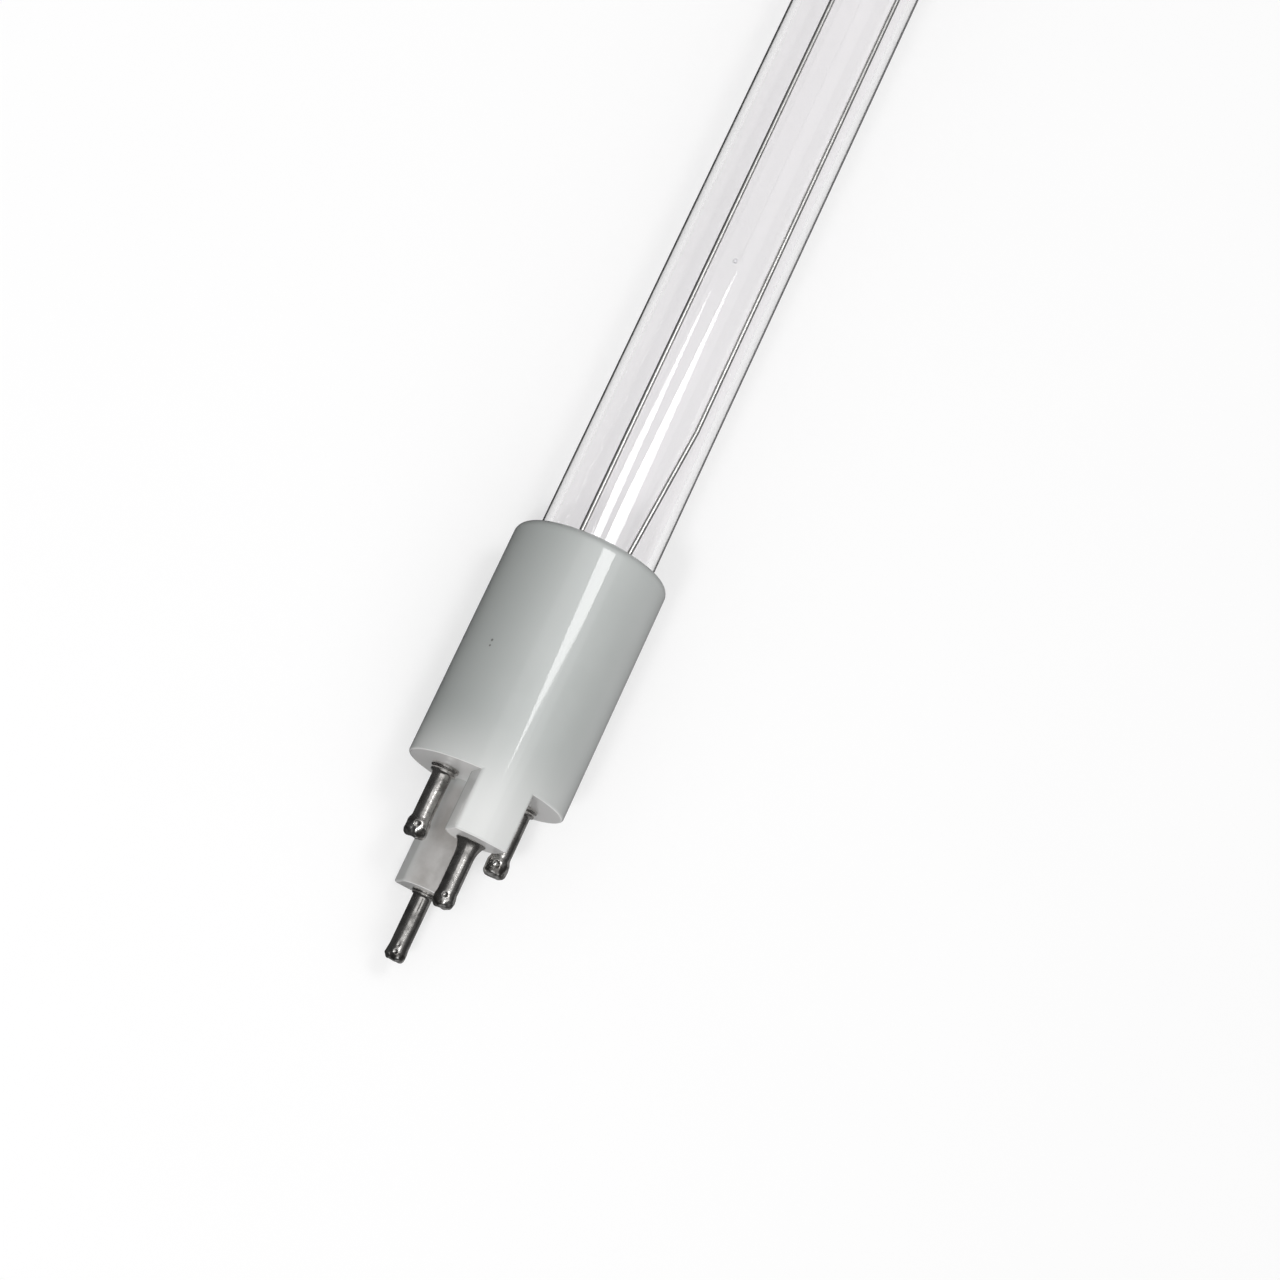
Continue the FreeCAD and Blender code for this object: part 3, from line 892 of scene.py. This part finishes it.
def roughen(bm, start):
    """Makes the solder uneven, from this X towards the tip."""
    for vert in bm.verts:
        share = soft_rise(-vert.co.x, -start, LUMPS_GROW)
        if share > 0.0:
            lump = noise.noise_vector(vert.co / LUMP_SIZE)
            vert.co += lump * LUMP_HEIGHT * share


def turned_pin(name, look, metal, solder):
    """One contact pin in the place of its packed node, with a soldered, uneven and dented tip."""
    form = PINS[name]
    node = "contact_pin_" + name
    low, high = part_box(node)
    place = middle_of(node)
    place.x = FACE_X - form["level"]
    reach, tail = place.x - low.x - LUMP_ROOM, high.x - FLANGE_THICKNESS - place.x
    bm = turned_piece(pin_outline(look, form, reach, tail), place, PIN_STEPS)
    solder_end = low.x + form["tip"][1]
    roughen(bm, solder_end + LUMPS_START)
    for face in bm.faces:
        face.material_index = int(face.calc_center_median().x < solder_end)
    for inset, out, ball in form["dents"]:
        away = look.radius + out
        for turn in DENT_TURNS:
            side = math.radians(turn)
            across, up = away * math.sin(side), away * math.cos(side)
            centre = Vector((low.x + inset, place.y + across, place.z + up))
            press_dent(bm, centre, ball)
    pin = finish_piece("turned_pin_" + name, bm, metal, [node])
    pin.data.materials.append(solder)


class LAMP_OT_contact_pins(bpy.types.Operator):
    """Four turned pins with their collars, crimp dents and soldered tips."""

    bl_idname = "lamp.contact_pins"
    bl_label = "Contact pins"

    def execute(self, context):
        look = context.scene.lamp_pins
        metal, solder = pin_finish(look), solder_finish()
        noise.seed_set(SOLDER_SEED)
        for name in PINS:
            turned_pin(name, look, metal, solder)
        return {"FINISHED"}


# Wires, crimps and what is inside the glass

class LAMP_OT_wires(bpy.types.Operator):
    """Return wires, leads, crimps and the woven sleeve."""

    bl_idname = "lamp.wires"
    bl_label = "Wires and crimps"

    def execute(self, context):
        wire = metal_finish("drawn_nickel_wire", colour=(0.82, 0.81, 0.795, 1.0), roughness=0.38, tone=0.88)
        crimp = metal_finish("crimped_sleeve", colour=(0.55, 0.54, 0.52, 1.0), roughness=0.32)
        sleeve = powder_finish("woven_sleeve", light=(0.83, 0.80, 0.72, 1.0), dark=(0.66, 0.63, 0.55, 1.0),
                               scale=1800.0, depth=0.04 * MM)
        dress(wire, "return_wire_left", "return_wire_right", "lead_wire_base_left", "lead_wire_base_right",
              "lead_wire_cap_left", "lead_wire_cap_right")
        dress(crimp, "splice_left", "splice_right")
        dress(sleeve, "crossing_sleeve")
        return {"FINISHED"}


class LAMP_OT_cathodes(bpy.types.Operator):
    """Cathodes, their posts, the foils in the seals and the mercury."""

    bl_idname = "lamp.cathodes"
    bl_label = "Cathodes and seals"

    def execute(self, context):
        post = metal_finish("post_wire", colour=(0.42, 0.41, 0.40, 1.0), roughness=0.35)
        foil = metal_finish("seal_foil", colour=(0.36, 0.35, 0.34, 1.0), roughness=0.4, stretch=0.2)
        coat = powder_finish("cathode_coating", light=(0.78, 0.77, 0.72, 1.0), dark=(0.42, 0.41, 0.38, 1.0),
                             scale=2200.0, depth=0.03 * MM)
        for end in ("base", "cap"):
            for side in ("left", "right"):
                dress(post, "cathode_post_%s_%s" % (end, side))
                dress(foil, "seal_foil_%s_%s" % (end, side))
        dress(coat, "cathode_base", "cathode_cap")
        dress(droplet_finish(), "mercury_drop")
        return {"FINISHED"}


# Floor, light and camera

def seen_ray(nodes, links):
    """1 for what the camera sees directly, in a mirror or through glass, and 0 for light that spreads."""
    path = nodes.new("ShaderNodeLightPath").outputs
    return math_of(nodes, links, "MAXIMUM", path["Is Camera Ray"], path["Is Glossy Ray"],
                   path["Is Transmission Ray"])


def room(look):
    """A soft room: bright overhead, dim along the horizon, brighter before the pins and towards high Y.

    What the camera, mirrors and glass see beyond the stage is plain white.
    """
    world = bpy.data.worlds.new("soft_room")
    world.use_nodes = True
    nodes, links = tree_of(world)
    parts = nodes.new("ShaderNodeSeparateXYZ")
    links.new(nodes.new("ShaderNodeTexCoord").outputs["Generated"], parts.inputs["Vector"])
    x, y, z = parts.outputs
    height = ramp_of(nodes, links, z, 0.1, 0.95, look.room_horizon, look.room_overhead)
    side = ramp_of(nodes, links, y, -1.0, 1.0, 1.0 + look.room_lean, 1.0 - look.room_lean, soft=False)
    front = ramp_of(nodes, links, x, -1.0, 1.0, 1.0 + look.room_ahead, 1.0 - look.room_ahead, soft=False)
    level = nodes.new("ShaderNodeMix")
    level.inputs["B"].default_value = 1.0
    links.new(seen_ray(nodes, links), level.inputs["Factor"])
    links.new(math_of(nodes, links, "MULTIPLY", height, side, front), level.inputs["A"])
    links.new(level.outputs["Result"], nodes["Background"].inputs["Strength"])
    nodes["Background"].inputs["Color"].default_value = grey(1.0)
    bpy.context.scene.world = world


def card(name, size, level, place):
    """A plain glowing card that only glossy surfaces mirror; the place is a matrix."""
    bm = bmesh.new()
    bmesh.ops.create_grid(bm, x_segments=1, y_segments=1, size=0.5)
    bmesh.ops.scale(bm, verts=bm.verts, vec=(*size, 1.0))
    bmesh.ops.transform(bm, verts=bm.verts, matrix=place)
    glowing = bpy.data.materials.new(name)
    glowing.use_nodes = True
    nodes, links = tree_of(glowing)
    glow = nodes.new("ShaderNodeEmission")
    glow.inputs["Color"].default_value = grey(level)
    links.new(glow.outputs["Emission"], nodes["Material Output"].inputs["Surface"])
    piece = object_from(name, bm, glowing)
    piece.visible_camera = False
    piece.visible_diffuse = False
    piece.visible_shadow = False
    piece.visible_volume_scatter = False
    piece.visible_transmission = False


def cards(look):
    """The ceiling, the flat cards over and beside the lamp, and the ring of upright cards that face it."""
    card("ceiling_card", CEILING_SIZE, look.ceiling_level, Matrix.Translation(CEILING_PLACE))
    for name, size, place, level in FLAT_CARDS:
        card(name, size, level, Matrix.Translation(place))
    upright = Matrix.Rotation(QUARTER, 4, "X")
    out = Matrix.Translation((0.0, -SIDE_CARD_AWAY, SIDE_CARD_SIZE[1] / 2))
    for index in range(SIDE_CARDS):
        around = Matrix.Rotation(2 * math.pi * index / SIDE_CARDS, 4, "Z")
        card("side_card_%d" % index, SIDE_CARD_SIZE, SIDE_CARD_LEVEL, around @ out @ upright)


def paper_finish(look):
    """Pale paper. Where it is seen, part of it is plain white, and far from the lamp all of it is."""
    paper = Finish("pale_paper", Roughness=0.9, Specular_IOR_Level=0.1)
    cloud = paper.effect("mottle", Scale=25.0, Low=0.2, High=0.8)
    sheet = paper.two_tones(cloud, look.floor_colour, darker(look.floor_colour, 0.99))
    seen = seen_ray(paper.nodes, paper.links)
    paper.feed("Base Color", paper.two_tones(seen, look.floor_bounce, sheet))
    far = paper.ramp(paper.length_of(paper.place), *FLOOR_FADE, low=look.floor_lift)
    white = paper.nodes.new("ShaderNodeEmission")
    white.inputs["Color"].default_value = grey(1.0)
    paper.lay_over(paper.both(seen, far), white.outputs["Emission"])
    return paper.material


def pale_floor(look):
    """A wide sheet of pale paper under the lamp."""
    bm = bmesh.new()
    bmesh.ops.create_grid(bm, x_segments=1, y_segments=1, size=FLOOR_HALF)
    floor = object_from("floor", bm, paper_finish(look))


def soft_light(name, side, power, place, turn):
    """A square area light; with no turn it looks straight down."""
    lamp = bpy.data.lights.new(name, "AREA")
    lamp.shape = "SQUARE"
    lamp.size = side
    lamp.energy = power
    light = bpy.data.objects.new(name, lamp)
    light.location = place
    light.rotation_euler = turn
    bpy.context.scene.collection.objects.link(light)
    return light


def lights(look):
    """The soft light over the glass, and a small key light from before the pins that mirrors don't show."""
    softbox_place = (*SOFTBOX_PLACE, look.softbox_height)
    soft_light("softbox", look.softbox_side, look.softbox_power, softbox_place, (0.0, 0.0, SOFTBOX_TURN))
    key_place = Vector((*KEY_PLACE, look.key_height))
    key_turn = (KEY_AIM - key_place).to_track_quat("-Z", "Y").to_euler()
    key = soft_light("key_light", look.key_side, look.key_power, key_place, key_turn)
    key.visible_glossy = False


def camera():
    """The camera that was fitted to the photograph, with its lens in millimetres and its turn in degrees."""
    lens = bpy.data.cameras.new("camera")
    lens.lens = CAMERA_LENS
    lens.sensor_width = CAMERA_SENSOR
    lens.clip_start = 10 * MM
    eye = bpy.data.objects.new("camera", lens)
    eye.location = CAMERA_PLACE
    eye.rotation_euler = [math.radians(turn) for turn in CAMERA_TURN]
    bpy.context.scene.collection.objects.link(eye)
    bpy.context.scene.camera = eye


class LAMP_OT_stage(bpy.types.Operator):
    """Soft room, mirrored cards, pale floor, two square soft lights and the camera."""

    bl_idname = "lamp.stage"
    bl_label = "Stage"

    def execute(self, context):
        look = context.scene.lamp_stage
        context.scene.view_settings.view_transform = "Standard"
        room(look)
        cards(look)
        pale_floor(look)
        lights(look)
        camera()
        return {"FINISHED"}


# Panel and registration

class LAMP_PT_pieces(bpy.types.Panel):
    """Buttons for each piece of the lamp, over the sizes and colours that they use."""

    bl_idname = "LAMP_PT_pieces"
    bl_label = "Germicidal lamp"
    bl_space_type = "VIEW_3D"
    bl_region_type = "UI"
    bl_category = "Lamp"

    def draw(self, context):
        for piece in PIECES:
            self.layout.operator(piece.bl_idname)
        for name, group in SETTINGS.items():
            box = self.layout.box()
            box.label(text=group.__doc__)
            for value in group.__annotations__:
                box.prop(getattr(context.scene, name), value)


SETTINGS = {
    "lamp_glass": LampGlassSettings,
    "lamp_pins": LampPinSettings,
    "lamp_ceramic": LampCeramicSettings,
    "lamp_stage": LampStageSettings,
}
PIECES = (LAMP_OT_stage, LAMP_OT_ceramics, LAMP_OT_quartz_tube, LAMP_OT_contact_pins, LAMP_OT_wires,
          LAMP_OT_cathodes)


def register():
    for name, group in SETTINGS.items():
        bpy.utils.register_class(group)
        setattr(bpy.types.Scene, name, PointerProperty(type=group))
    for shown in PIECES + (LAMP_PT_pieces,):
        bpy.utils.register_class(shown)


def unregister():
    for shown in (LAMP_PT_pieces,) + PIECES[::-1]:
        bpy.utils.unregister_class(shown)
    for name, group in SETTINGS.items():
        delattr(bpy.types.Scene, name)
        bpy.utils.unregister_class(group)


def main():
    """Registers the lamp's classes, then makes the stage and every piece."""
    register()
    bpy.ops.lamp.stage()
    bpy.ops.lamp.ceramics()
    bpy.ops.lamp.quartz_tube()
    bpy.ops.lamp.contact_pins()
    bpy.ops.lamp.wires()
    bpy.ops.lamp.cathodes()


if __name__ == "__main__":
    main()
